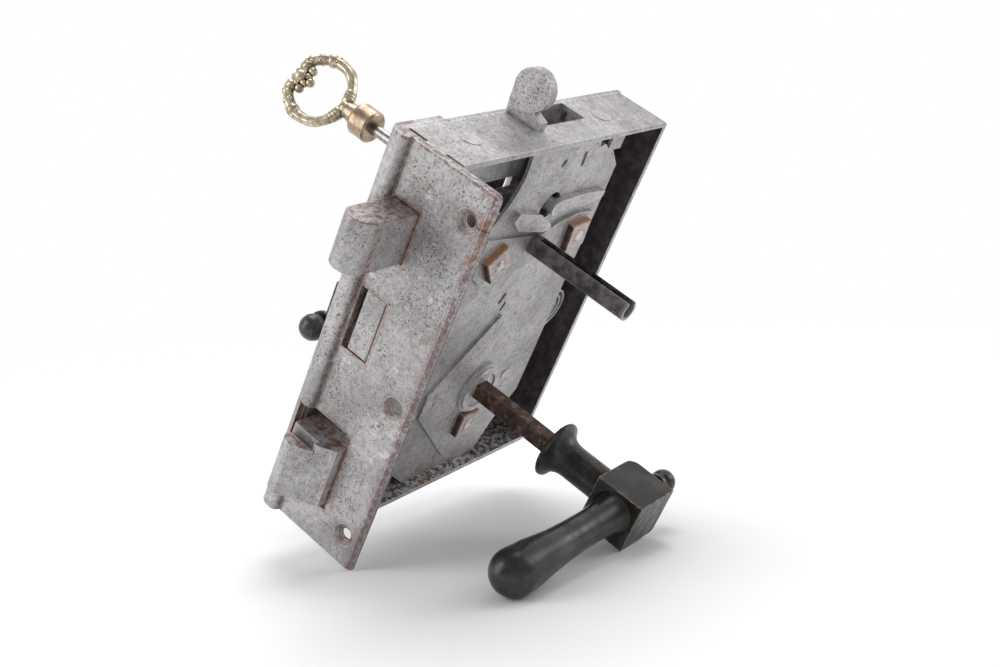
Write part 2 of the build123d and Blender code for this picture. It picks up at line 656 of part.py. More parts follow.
def handle_body(block_x, block_z, block_y, out, grip_way):
    """Handle casting: rose and neck along Y, a block, a bulbous grip and a ringed finial."""
    centre_y = (block_y[0] + block_y[1]) / 2
    body = block(block_x, block_y, block_z)
    blunt = block_x[1] if grip_way < 0 else block_x[0]
    inner = block_y[1] if out < 0 else block_y[0]
    lower = (blunt, centre_y, block_z[0])
    body = fillet(body.edges().filter_by(Axis.Y).sort_by_distance(lower)[0], 2.2)
    upright = (blunt, inner, SPINDLE[1])
    body = fillet(body.edges().filter_by(Axis.Z).sort_by_distance(upright)[0], 4.5)
    neck = NEAR_NECK if out < 0 else FAR_NECK
    body += rose(neck + 1.0, (SPINDLE[0], inner - out * neck, SPINDLE[1]), out)
    grip_face = block_x[0] if grip_way < 0 else block_x[1]
    start = grip_face - grip_way * 1.0
    grip = grip_outline((start, centre_y, SPINDLE[1]), grip_way)
    body += grip
    return body, centre_y


def rose(length, start, out):
    """Trumpet-shaped rose with a thin rim, dished in front, running into the neck."""
    edge = Polyline((0.0, 1.6), (8.6, 1.6), (11.9, 0.0), (ROSE_R, 0.5), (ROSE_R, 1.3), (12.0, 2.0))
    edge += Bezier((12.0, 2.0), (9.0, 3.2), (NECK_R + 0.1, 5.4), (NECK_R, 9.6))
    edge += Polyline((NECK_R, 9.6), (NECK_R, length), (0.0, length), (0.0, 1.6))
    return Plane(origin=start, z_dir=(0, out, 0)) * revolve(make_face(Plane.XZ * edge), Axis.Z)


def grip_outline(start, way):
    """Grip turned from a smooth profile: flared root, slim waist, full rounded end."""
    swell = BULB_CENTRE + BULB_R
    diagonal = BULB_R * math.sqrt(0.5)
    edge = Bezier((10.2, 0.0), (6.4, 3.4), (6.4, 13.0), (7.1, 34.0))
    edge += Bezier((7.1, 34.0), (7.5, 46.0), (BULB_R, 54.0), (BULB_R, BULB_CENTRE))
    edge += ThreePointArc((BULB_R, BULB_CENTRE), (diagonal, BULB_CENTRE + diagonal),
                          (0.0, swell))
    face = make_face(Plane.XZ * (edge + Polyline((0.0, swell), (0.0, 0.0), (10.2, 0.0))))
    return Plane(origin=start, z_dir=(way, 0, 0)) * revolve(face, Axis.Z)


def finial(start, cone_length, ball_r, way):
    """Cone, ring and ball opposite a handle's grip."""
    centre = cone_length + 2.0 + ball_r * 0.84
    profile = [(0.0, 5.6), (cone_length * 0.35, 4.4), (cone_length, 3.4)]
    profile += [(cone_length + 0.1, ball_r), (cone_length + 1.9, ball_r)]
    for step in range(7):
        angle = math.radians(-57 + step * 21.0)
        along = centre + ball_r * math.sin(angle)
        profile.append((along, ball_r * math.cos(angle)))
    profile.append((centre + ball_r, 0.3))
    return turned(profile, start, (way, 0, 0))


def cut_for_spindle(body, y, cross_y):
    """Blind square hole for the spindle and a cross hole for its pin."""
    return body - spindle_bar(y, RUNNING) - cross_pin(cross_y, PIN_R + SNUG, 40)


def near_handle():
    """Door-side handle, grip towards the faceplate."""
    body, centre_y = handle_body(NEAR_BLOCK_X, HANDLE_BLOCK_Z, NEAR_BLOCK_Y, -1, -1)
    start = (NEAR_BLOCK_X[1] - 0.5, centre_y, SPINDLE[1])
    body += finial(start, 10.5, 5.3, 1)
    return cut_for_spindle(body, (NEAR_BLOCK_Y[0] + BORE_WALL, 0), PIN_Y[0])


def far_handle():
    """Room-side handle, grip away from the faceplate."""
    body, centre_y = handle_body(FAR_BLOCK_X, HANDLE_BLOCK_Z, FAR_BLOCK_Y, 1, 1)
    start = (FAR_BLOCK_X[0] + 0.5, centre_y, SPINDLE[1])
    body += finial(start, 15.0, 5.8, -1)
    return cut_for_spindle(body, (0, FAR_BLOCK_Y[1] - BORE_WALL), PIN_Y[1])


def handle_pins():
    """Cross pins that hold the handles on the spindle."""
    return group([cross_pin(y, PIN_R, PIN_LENGTH) for y in PIN_Y])


def key_shank():
    """Round key shank with a stepped bit, pointing down and towards the faceplate."""
    shank = rod_y(KEY, KEY_SHANK_R, (KEY_TIP, COLLAR_Y[0] + SHANK_IN_COLLAR))
    bit_x = (KEY[0] - BIT_HALF, KEY[0] + BIT_HALF)
    bit = block(bit_x, BIT_Y, (KEY[1] - KEY_BIT_R, KEY[1]))
    ward_x = widened(bit_x, 1, 1)
    bit -= block(ward_x, (-11.8, -10.2), (KEY[1] - 10.0, KEY[1] - 5.0))
    bit -= block(ward_x, (-16.5, -14.2), (KEY[1] - 9.0, KEY[1] - 7.0))
    return turn_about(shank + bit, KEY, KEY_TILT)


def key_collar():
    """Drum-shaped collar between shank and bow, with a neck up to the bow."""
    profile = [(0.0, 6.3), (0.9, 7.1), (8.4, 7.1), (9.6, 6.3), (10.4, 4.6), (15.0, 3.8)]
    collar = turned(profile, (KEY[0], COLLAR_Y[0], KEY[1]), (0, 1, 0))
    return collar - rod_y(KEY, KEY_SHANK_R, (COLLAR_Y[0] - 1, COLLAR_Y[0] + SHANK_IN_COLLAR))


def key_bow():
    """Kidney-shaped ring bow with a round boss at its far end, in the plane of the bit."""
    low = COLLAR_Y[1] + BOW_WIRE_R + 0.3
    high = BOW_END - BOW_WIRE_R
    place = Plane(origin=(KEY[0], 0, KEY[1]), x_dir=(0, 0, 1), z_dir=(1, 0, 0))
    side = [(6.6, low + 1.6), (12.4, low + 6.8), (BOW_HALF_WIDTH, low + 14.6),
            (12.2, high - 6.0), (6.6, high)]
    points = [(0, -low)] + [(across, -along) for across, along in side] + [(0, 2.4 - high)]
    points += [(-across, -along) for across, along in reversed(side)]
    path = place * Spline(*points, periodic=True)
    section = Plane(origin=path @ 0, z_dir=path % 0) * Circle(BOW_WIRE_R)
    ring = sweep(section, path)
    ring += Pos(KEY[0], high - 2.0, KEY[1]) * Sphere(BOW_BOSS_R)
    neck = rod_y(KEY, 3.6, (COLLAR_Y[1], low + 1.0))
    return turn_about(ring + neck, KEY, KEY_TILT)


# ---------------------------------------------------------------- writing
NODES = {
    "faceplate": faceplate,
    "front_plate": front_plate,
    "rim_strap": rim_strap,
    "rim_rivets": rim_rivets,
    "corner_lugs": corner_lugs,
    "cover_plate": cover_plate,
    "hub_cover": hub_cover,
    "boss_ring": boss_ring,
    "hub_cover_rivets": hub_cover_rivets,
    "pillar_studs": pillar_studs,
    "pillar_sleeves": pillar_sleeves,
    "square_nuts": square_nuts,
    "key_guide_flange": key_guide_flange,
    "key_guide_tube": key_guide_tube,
    "stop_wedge": stop_wedge,
    "bolt_guides": bolt_guides,
    "lever_stud": lever_stud,
    "keeper_washers": keeper_washers,
    "latch_springs": latch_springs,
    "tumbler_spring": tumbler_spring,
    "tumbler_stud": tumbler_stud,
    "deadbolt": deadbolt,
    "night_bolt": night_bolt,
    "night_bolt_pin": night_bolt_pin,
    "latch_bolt": latch_bolt,
    "latch_frame": latch_frame,
    "thumb_piece": thumb_piece,
    "slide_bar": slide_bar,
    "slide_pin": slide_pin,
    "reversing_lever": reversing_lever,
    "tumbler_arm": tumbler_arm,
    "follower_hub": follower_hub,
    "spindle": spindle,
    "near_handle": near_handle,
    "far_handle": far_handle,
    "handle_pins": handle_pins,
    "key_shank": key_shank,
    "key_collar": key_collar,
    "key_bow": key_bow,
}


def main():
    """Build every node, move it to the part's origin and write one file for each."""
    os.makedirs("parts", exist_ok=True)
    shift = Pos(-ORIGIN[0], -ORIGIN[1], -ORIGIN[2])
    for name, make in NODES.items():
        solid = shift * make()
        export_step(solid, "parts/" + name + ".step")
        print(name, round(solid.volume / 1000.0, 3), "cm3")


main()
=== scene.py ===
"""Looks of the surface-mounted door lock: finishes, worn details, studio and camera."""
import bpy
import math
from mathutils import Matrix, Vector


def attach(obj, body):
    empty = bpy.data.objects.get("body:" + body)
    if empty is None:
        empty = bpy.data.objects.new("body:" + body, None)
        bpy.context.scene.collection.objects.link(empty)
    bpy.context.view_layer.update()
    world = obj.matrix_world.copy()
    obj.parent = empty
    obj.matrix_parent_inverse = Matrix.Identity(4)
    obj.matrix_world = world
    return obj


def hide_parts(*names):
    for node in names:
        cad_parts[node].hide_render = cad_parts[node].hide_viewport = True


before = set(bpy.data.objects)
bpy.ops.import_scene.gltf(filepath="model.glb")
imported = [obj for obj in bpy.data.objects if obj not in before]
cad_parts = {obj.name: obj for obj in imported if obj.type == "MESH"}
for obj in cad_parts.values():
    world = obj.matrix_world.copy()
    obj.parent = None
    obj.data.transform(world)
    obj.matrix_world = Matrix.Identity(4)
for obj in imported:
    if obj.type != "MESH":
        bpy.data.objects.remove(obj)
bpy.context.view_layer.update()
MM = 0.001

# The lock's own coordinates start at the faceplate's outer face, the room-side plate's outer
# face and the case's top.  The row's origin lies here in them, in millimetres.
ORIGIN = Vector((3.0, -38.5, -94.2))


def at(x, y, z):
    """Point of the lock's own coordinates, in the row's frame and in metres."""
    return (Vector((x, y, z)) - ORIGIN) * MM


# ---------------------------------------------------------------- node helper
# The Mix node's colour sockets share their names with its other sockets, so they go by number.
MIX_A = 6
MIX_B = 7
MIX_RESULT = 2
# Agreement of the rounded and the true normal where an edge starts to show, and where it is full.
EDGE_STARTS = 0.992
EDGE_FULL = 0.93


class Surface:
    """A material being built: each method adds nodes and gives back the socket to use next."""

    def __init__(self, name, metallic, specular=0.5):
        self.material = bpy.data.materials.new(name)
        self.material.use_nodes = True
        self.tree = self.material.node_tree
        self.shader = self.tree.nodes["Principled BSDF"]
        self.shader.inputs["Metallic"].default_value = metallic
        self.shader.inputs["Specular IOR Level"].default_value = specular
        coordinates = self.tree.nodes.new("ShaderNodeTexCoord")
        self.place = coordinates.outputs["Object"]
        self.facing = coordinates.outputs["Normal"]

    def feed(self, socket, value):
        """Links a socket to value, or sets it where value is a number or a colour."""
        if isinstance(value, bpy.types.NodeSocket):
            self.tree.links.new(value, socket)
        elif isinstance(value, (tuple, list)) and len(value) == 3 and len(socket.default_value) == 4:
            socket.default_value = (*value, 1.0)
        else:
            socket.default_value = value

    def math(self, operation, a, b=0.0):
        node = self.tree.nodes.new("ShaderNodeMath")
        node.operation = operation
        self.feed(node.inputs[0], a)
        self.feed(node.inputs[1], b)
        return node.outputs[0]

    def times(self, *values):
        product = values[0]
        for value in values[1:]:
            product = self.math("MULTIPLY", product, value)
        return product

    def most(self, *values):
        top = values[0]
        for value in values[1:]:
            top = self.math("MAXIMUM", top, value)
        return top

    def least(self, *values):
        low = values[0]
        for value in values[1:]:
            low = self.math("MINIMUM", low, value)
        return low

    def noise(self, size, detail=5.0, roughness=0.55, stretch=(1, 1, 1), shift=0.0):
        """Soft noise whose features are about size millimetres across."""
        mapping = self.tree.nodes.new("ShaderNodeMapping")
        mapping.inputs["Scale"].default_value = stretch
        mapping.inputs["Location"].default_value = (shift, shift, shift)
        self.feed(mapping.inputs["Vector"], self.place)
        node = self.tree.nodes.new("ShaderNodeTexNoise")
        node.inputs["Scale"].default_value = 1.0 / (size * MM)
        node.inputs["Detail"].default_value = detail
        node.inputs["Roughness"].default_value = roughness
        self.feed(node.inputs["Vector"], mapping.outputs["Vector"])
        return node.outputs[0]

    def cells(self, size):
        """Distance to the nearest of points about size millimetres apart."""
        node = self.tree.nodes.new("ShaderNodeTexVoronoi")
        node.inputs["Scale"].default_value = 1.0 / (size * MM)
        self.feed(node.inputs["Vector"], self.place)
        return node.outputs["Distance"]

    def ramp(self, value, low, high):
        """0 below low, 1 above high, smooth between; low may be the larger."""
        node = self.tree.nodes.new("ShaderNodeMapRange")
        node.interpolation_type = "SMOOTHSTEP"
        self.feed(node.inputs["Value"], value)
        node.inputs["From Min"].default_value = low
        node.inputs["From Max"].default_value = high
        return node.outputs["Result"]

    def scale(self, value, low, high):
        """Spreads a 0 to 1 value between low and high."""
        node = self.tree.nodes.new("ShaderNodeMapRange")
        self.feed(node.inputs["Value"], value)
        node.inputs["To Min"].default_value = low
        node.inputs["To Max"].default_value = high
        return node.outputs["Result"]

    def mix(self, factor, a, b):
        """Colour a where factor is 0 and colour b where it is 1."""
        node = self.tree.nodes.new("ShaderNodeMix")
        node.data_type = "RGBA"
        self.feed(node.inputs["Factor"], factor)
        self.feed(node.inputs[MIX_A], a)
        self.feed(node.inputs[MIX_B], b)
        return node.outputs[MIX_RESULT]

    def axis(self, index, source=None):
        """One coordinate of a vector, which is the place on the object if none is given."""
        node = self.tree.nodes.new("ShaderNodeSeparateXYZ")
        self.feed(node.inputs[0], source or self.place)
        return node.outputs[index]

    def outside(self, centre, half, axes=(0, 1, 2)):
        """Per axis, how far a point lies outside a box, in metres; negative inside."""
        gaps = []
        for index in axes:
            offset = self.math("SUBTRACT", self.axis(index), centre[index])
            offset = self.math("ABSOLUTE", offset)
            gaps.append(self.math("SUBTRACT", offset, half[index] * MM))
        return gaps

    def edges(self, radius):
        """1 on the outer and inner edges of a part, over about radius millimetres."""
        rounded = self.tree.nodes.new("ShaderNodeBevel")
        rounded.samples = 4
        rounded.inputs["Radius"].default_value = radius * MM
        geometry = self.tree.nodes.new("ShaderNodeNewGeometry")
        agreement = self.tree.nodes.new("ShaderNodeVectorMath")
        agreement.operation = "DOT_PRODUCT"
        self.feed(agreement.inputs[0], rounded.outputs["Normal"])
        self.feed(agreement.inputs[1], geometry.outputs["Normal"])
        return self.ramp(agreement.outputs["Value"], EDGE_STARTS, EDGE_FULL)

    def near_box(self, centre, half, reach, axes=(0, 1, 2)):
        """1 inside a box, fading to 0 at reach millimetres outside it."""
        return self.ramp(self.most(*self.outside(centre, half, axes)), reach * MM, 0.0)

    def near_outline(self, centre, half, reach, axes):
        """1 on a rectangle's outline, fading to 0 at reach millimetres on either side."""
        gap = self.math("ABSOLUTE", self.most(*self.outside(centre, half, axes)))
        return self.ramp(gap, reach * MM, 0.0)

    def near_edges(self, centre, half, reach):
        """1 along a block's edges, fading over reach millimetres."""
        x, y, z = self.outside(centre, half)
        second = self.most(self.least(x, y), self.least(self.most(x, y), z))
        slack = 0.1
        within = self.ramp(self.most(x, y, z), 3 * slack * MM, slack * MM)
        return self.times(within, self.ramp(second, -reach * MM, 0.0))

    def near_line(self, point, reach, axis):
        """1 on a line through a point along one axis, fading to 0 at reach millimetres."""
        total = 0.0
        for index in range(3):
            if index != axis:
                offset = self.math("SUBTRACT", self.axis(index), point[index])
                total = self.math("ADD", self.math("MULTIPLY", offset, offset), total)
        return self.ramp(self.math("SQRT", total), reach * MM, 0.0)

    def finish(self, color, roughness, height=None, depth=0.05):
        """Feeds the shader; height is 0 to 1 and depth is its full step in millimetres."""
        self.feed(self.shader.inputs["Base Color"], color)
        self.feed(self.shader.inputs["Roughness"], roughness)
        if height is not None:
            bump = self.tree.nodes.new("ShaderNodeBump")
            bump.inputs["Strength"].default_value = 1.0
            bump.inputs["Distance"].default_value = depth * MM
            self.feed(bump.inputs["Height"], height)
            self.feed(self.shader.inputs["Normal"], bump.outputs["Normal"])
        return self.material


# ---------------------------------------------------------------- finishes
RUST_ORANGE = (0.46, 0.20, 0.07)
RUST_BROWN = (0.17, 0.085, 0.07)
STAIN = (0.32, 0.265, 0.235)
PIT = (0.05, 0.042, 0.04)
# Pale bare steel for scratches, pale mottling and worn spots, and for a painted highlight on the
# steel's edges.
BARE_AND_HIGHLIGHT = (0.74, 0.73, 0.75)


def old_steel(name, light, dark, rust=0.5, grime=0.5, metallic=0.5, extra=None):
    """Silver-grey worn steel with pits, stains, scratches, rust, and bright edges that are partly wear
    and partly a painted highlight.
    """
    s = Surface(name, metallic)
    cloud = s.noise(26.0, 6.0, 0.6)
    color = s.mix(s.ramp(cloud, 0.36, 0.66), dark, light)
    mottle = s.noise(2.6, 8.0, 0.72, shift=6.3)
    color = s.mix(s.times(s.ramp(mottle, 0.52, 0.36), 0.5), color, tuple(0.55 * c for c in dark))
    color = s.mix(s.times(s.ramp(mottle, 0.56, 0.70), 0.5), color, BARE_AND_HIGHLIGHT)
    grain = s.noise(0.7, 5.0, 0.7)
    color = s.mix(s.times(s.ramp(grain, 0.50, 0.36), 0.42), color, PIT)
    scratch = s.ramp(s.noise(1.1, 3.0, 0.6, stretch=(1.0, 0.12, 0.16), shift=3.1), 0.63, 0.69)
    color = s.mix(s.times(scratch, 0.5), color, BARE_AND_HIGHLIGHT)
    stains = s.ramp(s.noise(7.5, 7.0, 0.72, shift=1.7), 0.55, 0.66)
    color = s.mix(s.times(stains, grime), color, STAIN)
    clusters = s.ramp(s.noise(13.0, 3.0, shift=5.3), 0.38, 0.58)
    pits = s.times(s.ramp(s.noise(0.85, 2.0, 0.5, shift=9.0), 0.59, 0.68), clusters)
    color = s.mix(s.times(pits, 0.8), color, PIT)
    patches = s.ramp(s.noise(9.0, 8.0, 0.74, shift=7.7), 0.67 - 0.07 * rust, 0.75 - 0.07 * rust)
    fleck = s.noise(1.6, 5.0, 0.7, shift=2.2)
    rust_color = s.mix(s.ramp(fleck, 0.4, 0.62), RUST_BROWN, RUST_ORANGE)
    color = s.mix(s.times(patches, min(1.0, rust + 0.25)), color, rust_color)
    rough = s.scale(s.ramp(cloud, 0.3, 0.7), 0.38, 0.52)
    rough = s.most(rough, s.times(s.most(patches, stains), 0.74))
    height = s.math("SUBTRACT", s.scale(grain, 0.0, 0.5), s.times(pits, 0.9))
    height = s.math("ADD", height, s.scale(mottle, 0.0, 0.9))
    height = s.math("SUBTRACT", height, s.times(scratch, 0.2))
    if extra:
        color, rough = extra(s, color, rough, rust_color)
    # Bright edges: partly wear, partly a painted highlight like the gleam along a rounded edge.
    bright_edges = s.times(s.edges(0.55), s.ramp(s.noise(1.4, 4.0, 0.6, shift=4.9), 0.30, 0.52))
    color = s.mix(s.times(bright_edges, 0.7), color, BARE_AND_HIGHLIGHT)
    return s.finish(color, rough, height, 0.16)


LIGHT = (0.52, 0.502, 0.502)
SHADE = (0.34, 0.325, 0.325)
EDGE_BROWN = (0.21, 0.14, 0.135)
# Painted shadow for the inner corner along the faceplate's bend.
BEND_SHADOW = (0.16, 0.11, 0.09)
SLOT_BROWN = (0.12, 0.09, 0.085)
# Painted shade for the case's inner back wall: dark, with paler patches.
PAINTED_SHADE_DARK = (0.075, 0.062, 0.068)
PAINTED_SHADE_PALE = (0.15, 0.13, 0.14)
FLAKE_DARK = (0.09, 0.083, 0.083)
FLAKE_LIGHT = (0.50, 0.48, 0.48)

# Places on the lock, in millimetres.  A box is given by its centre and its half sizes.
CASE_MIDDLE_Z = -84.0
PLATE_X = 3.0
PLATE_REACH = 9.0
FULL_HEIGHT = 120.0
NEAR_EDGE_Y = -46.6
BEND_Y = -7.0
SCREW_Y = -38.5
SCREW_HEIGHTS = (-14.2, -94.2, -155.8)
SCREW_RING = 8.0
CRACK_Z = -13.6
# Each slot of the faceplate: its middle in y and z, then half its width and half its height.
BOLT_SLOTS = ((-14.1, -32.8, 6.4, 10.8), (-14.4, -73.0, 6.5, 13.4), (-14.0, -134.6, 12.4, 18.0))
TOP_RIVETS = ((106.6, -14.8), (23.7, -13.8))
RIVET_RING = 5.2
THUMB_SLOT = (77.5, -8.5)
THUMB_SLOT_HALF = (17.9, 5.9, 1.0)
BOLT_ROOT_X = -0.4
BOLT_SEAM_X = -19.0
BOLT_NOSE_X = -26.0
NUT_PLACES = ((56.0, -52.4), (108.0, -49.3), (84.2, -140.2))
NUT_RING = 5.6
STUD_RING = 3.1
# In the row's frame and in metres: where the painted shade on the case's inner back wall and the
# finish of its inner bottom wall begin, and where they are full.
BACK_WALL_X = (0.120, 0.126)
BOTTOM_WALL_Z = (-0.066, -0.070)


def faceplate_marks(s, color, rough, rust_color):
    """Brown near edge, stained screw holes, rusty slot edges and a painted shadow along the bend."""
    wobble = s.noise(5.0, 5.0, 0.65, shift=4.4)
    edge = s.near_box(at(PLATE_X, NEAR_EDGE_Y, CASE_MIDDLE_Z), (PLATE_REACH, 1.4, FULL_HEIGHT),
                      2.6, (1,))
    ragged = s.noise(2.2, 6.0, 0.75, shift=9.4)
    color = s.mix(s.times(edge, s.ramp(ragged, 0.36, 0.58)), color, EDGE_BROWN)
    flare = s.near_box(at(PLATE_X, -44.8, -19.0), (PLATE_REACH, 0.4, 9.0), 2.6)
    color = s.mix(s.times(flare, s.ramp(wobble, 0.46, 0.56), 0.8), color, rust_color)
    ends = s.near_box(at(0.0, -24.0, 0.0), (PLATE_REACH, 30.0, 0.9), 0.7)
    color = s.mix(s.times(ends, s.ramp(ragged, 0.42, 0.56)), color, EDGE_BROWN)
    crack = s.near_box(at(PLATE_X, -44.4, CRACK_Z), (PLATE_REACH, 2.4, 0.12), 0.4)
    color = s.mix(crack, color, PIT)
    for z in SCREW_HEIGHTS:
        ring = s.near_line(at(0.0, SCREW_Y, z), SCREW_RING, 0)
        color = s.mix(s.times(ring, s.ramp(wobble, 0.36, 0.54)), color, RUST_BROWN)
    fine = s.ramp(s.noise(2.4, 4.0, 0.7, shift=6.1), 0.38, 0.6)
    for y, z, half_y, half_z in BOLT_SLOTS:
        line = s.near_outline(at(0.0, y, z), (1.0, half_y, half_z), 1.5, (1, 2))
        color = s.mix(s.times(line, fine), color, rust_color)
    # Painted shadow: a dark line, broken by noise, in the inner corner where the faceplate bends into
    # its bead.
    bend_shadow_mask = s.near_box(at(0.0, BEND_Y, CASE_MIDDLE_Z), (PLATE_REACH, 0.2, FULL_HEIGHT),
                        1.3, (1,))
    color = s.mix(s.times(bend_shadow_mask, s.scale(fine, 0.25, 0.9)), color, BEND_SHADOW)
    return color, rough


def rim_marks(s, color, rough, rust_color):
    """Painted shade on the inner back wall, flaking inner bottom wall, rusty rivets and a dirty thumb
    slot.
    """
    # Painted shade: the inner back wall, which faces into the case, is darkened as if it lay in shade.
    back = s.times(s.ramp(s.axis(0), *BACK_WALL_X), s.ramp(s.axis(0, s.facing), -0.4, -0.8))
    back_wall_shade = s.mix(s.ramp(s.noise(5.0, 6.0, 0.65), 0.4, 0.66), PAINTED_SHADE_DARK, PAINTED_SHADE_PALE)
    color = s.mix(back, color, back_wall_shade)
    bottom = s.times(s.ramp(s.axis(2), *BOTTOM_WALL_Z), s.ramp(s.axis(2, s.facing), 0.4, 0.8))
    flakes = s.noise(2.6, 7.0, 0.75, shift=8.8)
    flaky = s.mix(s.ramp(flakes, 0.47, 0.53), FLAKE_DARK, FLAKE_LIGHT)
    flaky = s.mix(s.ramp(s.noise(5.5, 5.0, 0.7, shift=2.9), 0.58, 0.64), flaky, rust_color)
    color = s.mix(bottom, color, flaky)
    edge = s.noise(1.6, 4.0, 0.7, shift=5.5)
    for x, y in TOP_RIVETS:
        disc = s.near_line(at(x, y, 0.0), RIVET_RING, 2)
        color = s.mix(s.times(s.ramp(disc, 0.02, 0.16), s.ramp(edge, 0.40, 0.50)), color, rust_color)
    slot = s.near_outline(at(*THUMB_SLOT, 0.0), THUMB_SLOT_HALF, 1.1, (0, 1))
    outer = s.ramp(s.axis(2, s.facing), 0.5, 0.9)
    dirt = s.times(slot, outer, s.ramp(edge, 0.38, 0.54), 0.8)
    return s.mix(dirt, color, SLOT_BROWN), rough


def bolt_marks(s, color, rough, rust_color):
    """Rust where the bolt meets its slot, along the nose, and patches on top."""
    wobble = s.noise(3.0, 6.0, 0.72, shift=1.2)
    root = s.near_box(at(BOLT_ROOT_X, 0.0, 0.0), (0.5, 1.0, 1.0), 1.6, (0,))
    color = s.mix(s.times(root, s.ramp(wobble, 0.36, 0.58)), color, rust_color)
    seam = s.near_box(at(BOLT_SEAM_X, 0.0, 0.0), (0.7, 1.0, 1.0), 2.0, (0,))
    color = s.mix(s.times(seam, s.ramp(wobble, 0.44, 0.6), 0.9), color, rust_color)
    top = s.ramp(s.axis(2, s.facing), 0.5, 0.9)
    color = s.mix(s.times(top, s.ramp(wobble, 0.45, 0.58), 0.85), color, RUST_BROWN)
    blotch = s.ramp(s.noise(4.4, 6.0, 0.7, shift=6.9), 0.60, 0.66)
    nose = s.near_box(at(BOLT_NOSE_X, 0.0, 0.0), (3.6, 1.0, 1.0), 2.0, (0,))
    return s.mix(s.times(blotch, nose, 0.9), color, RUST_BROWN), rough


def rusty_steel(name, pale, brown, orange, paleness=0.5):
    """Brown rusted steel, worn paler in places."""
    s = Surface(name, 0.45)
    cloud = s.noise(4.5, 6.0, 0.68)
    color = s.mix(s.ramp(cloud, 0.36, 0.62), brown, orange)
    bare = s.ramp(s.noise(3.2, 6.0, 0.66, shift=3.0), 0.62 - 0.25 * paleness, 0.72 - 0.2 * paleness)
    color = s.mix(bare, color, pale)
    grain = s.noise(0.55, 4.0, 0.65)
    color = s.mix(s.times(s.ramp(grain, 0.54, 0.7), 0.7), color, PIT)
    rough = s.scale(bare, 0.66, 0.4)
    height = s.math("ADD", grain, s.times(bare, 0.4))
    return s.finish(color, rough, height, 0.16)


def nut_steel(name):
    """Square nuts: pale mauve faces with a rusty ring, brown sides, orange upper sides."""
    s = Surface(name, 0.3)
    wobble = s.noise(2.0, 6.0, 0.72, shift=2.0)
    side = s.mix(s.ramp(wobble, 0.40, 0.62), (0.050, 0.028, 0.026), (0.16, 0.075, 0.055))
    upper = s.ramp(s.axis(2, s.facing), 0.15, 0.75)
    side = s.mix(s.times(upper, s.ramp(wobble, 0.30, 0.46)), side, (0.44, 0.23, 0.12))
    face = s.mix(s.ramp(wobble, 0.38, 0.60), (0.36, 0.28, 0.27), (0.52, 0.46, 0.46))
    for x, z in NUT_PLACES:
        ring = s.near_line(at(x, 0.0, z), NUT_RING, 1)
        face = s.mix(s.times(ring, s.ramp(wobble, 0.44, 0.52)), face, (0.46, 0.24, 0.14))
        seam = s.near_line(at(x, 0.0, z), STUD_RING, 1)
        face = s.mix(s.times(s.ramp(seam, 0.02, 0.10), 0.85), face, (0.09, 0.055, 0.04))
    front = s.ramp(s.axis(1, s.facing), -0.80, -0.95)
    color = s.mix(front, side, face)
    bright_edges = s.times(s.edges(0.4), s.ramp(wobble, 0.42, 0.50))
    color = s.mix(s.times(bright_edges, 0.7), color, (0.62, 0.60, 0.62))
    return s.finish(color, s.scale(front, 0.7, 0.5), wobble, 0.30)


BARE_BRASS = (0.42, 0.25, 0.09)


def dark_bronze(name, centre, half):
    """Blackened bronze, brass showing through in specks and on the edges of the handle's block."""
    s = Surface(name, 0.55, 0.6)
    cloud = s.noise(14.0, 5.0, 0.6)
    color = s.mix(s.ramp(cloud, 0.38, 0.64), (0.020, 0.020, 0.022), (0.056, 0.052, 0.051))
    green = s.ramp(s.noise(8.0, 4.0, shift=2.5), 0.60, 0.72)
    color = s.mix(s.times(green, 0.5), color, (0.045, 0.05, 0.04))
    area = s.ramp(s.noise(11.0, 4.0, 0.6, shift=6.6), 0.46, 0.60)
    speck = s.times(s.ramp(s.noise(0.75, 3.0, 0.6, shift=4.1), 0.66, 0.72), area)
    color = s.mix(s.times(speck, 0.8), color, BARE_BRASS)
    chips = s.noise(1.8, 5.0, 0.65, shift=7.0)
    bright_edges = s.times(s.near_edges(at(*centre), half, 0.6), s.ramp(chips, 0.42, 0.54), 0.9)
    color = s.mix(bright_edges, color, BARE_BRASS)
    dents = s.ramp(s.cells(4.2), 0.16, 0.05)
    dents = s.times(dents, s.ramp(s.noise(9.0, 2.0, shift=1.1), 0.5, 0.62))
    grain = s.noise(0.5, 3.0, 0.6)
    rough = s.scale(s.ramp(s.noise(6.0, 5.0, 0.6, shift=3.3), 0.35, 0.7), 0.24, 0.42)
    height = s.math("SUBTRACT", s.times(grain, 0.25), s.times(s.most(dents, speck), 0.6))
    return s.finish(color, rough, height, 0.09)


CREVICE_REACH = 1.6
CREVICE_DIRT = (0.030, 0.024, 0.022)


def antique_brass(name, low, high, copper, size):
    """Brass with dark crevices and brighter high spots."""
    s = Surface(name, 0.9)
    cloud = s.noise(size, 5.0, 0.6)
    color = s.mix(s.ramp(cloud, 0.36, 0.62), low, high)
    patches = s.ramp(s.noise(5.0, 4.0, 0.6, shift=8.0), 0.50, 0.64)
    color = s.mix(s.times(patches, 0.6), color, copper)
    crevice = s.tree.nodes.new("ShaderNodeAmbientOcclusion")
    crevice.samples = 6
    crevice.inputs["Distance"].default_value = CREVICE_REACH * MM
    open_air = s.ramp(crevice.outputs["AO"], 0.35, 0.85)
    color = s.mix(open_air, CREVICE_DIRT, color)
    rough = s.scale(s.least(cloud, open_air), 0.42, 0.22)
    return s.finish(color, rough, s.noise(0.9, 4.0, 0.6), 0.05)


